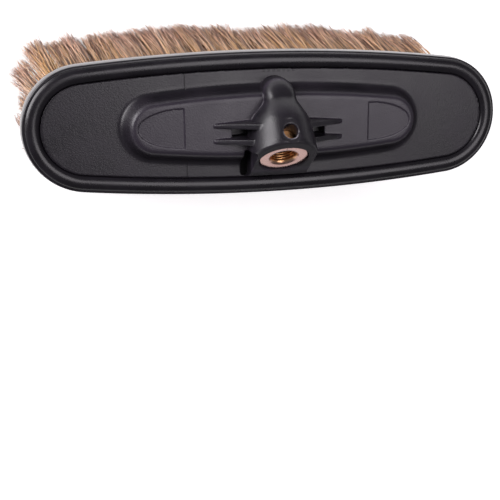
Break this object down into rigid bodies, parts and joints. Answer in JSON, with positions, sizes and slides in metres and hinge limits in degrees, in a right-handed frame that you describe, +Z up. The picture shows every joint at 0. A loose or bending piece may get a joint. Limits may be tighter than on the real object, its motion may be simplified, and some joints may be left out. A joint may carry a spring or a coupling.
{
  "type": "wash brush head",
  "caption": "Long oval wash brush head: moulded back with a tilted threaded inlet and water channel, rubber bumper ring, board and flared natural bristle.",
  "frame": {"origin": "middle of the floor plane under the head, which stands on its bristle tips", "axes": "+X along the head, +Z up out of the back, inlet mouth towards -Y and +Z"},
  "size_m": [0.2598, 0.0953, 0.1341],
  "materials": {
    "back_plastic": "moulded black polypropylene with a soft satin grain",
    "insert_brass": "turned brass, fine facing marks",
    "bumper_rubber": "smooth black rubber",
    "board_plastic": "moulded grey-black polypropylene",
    "seal_rubber": "black seal rubber",
    "screw_steel": "stainless steel",
    "bristle": "natural boar bristle, golden at the root, dark and split at the tip"
  },
  "bodies": {
    "root": {"back_shell": "back_plastic", "inlet_insert": "insert_brass", "bumper_ring": "bumper_rubber", "bristle_board": "board_plastic", "chamber_gasket": "seal_rubber", "board_screw_1": "screw_steel", "board_screw_2": "screw_steel", "board_screw_3": "screw_steel", "board_screw_4": "screw_steel", "board_screw_5": "screw_steel", "board_screw_6": "screw_steel", "board_screw_7": "screw_steel", "board_screw_8": "screw_steel", "board_screw_9": "screw_steel", "board_screw_10": "screw_steel", "bristle_ring_outer": "bristle", "bristle_ring_middle": "bristle", "bristle_ring_inner": "bristle"}
  },
  "joints": []
}
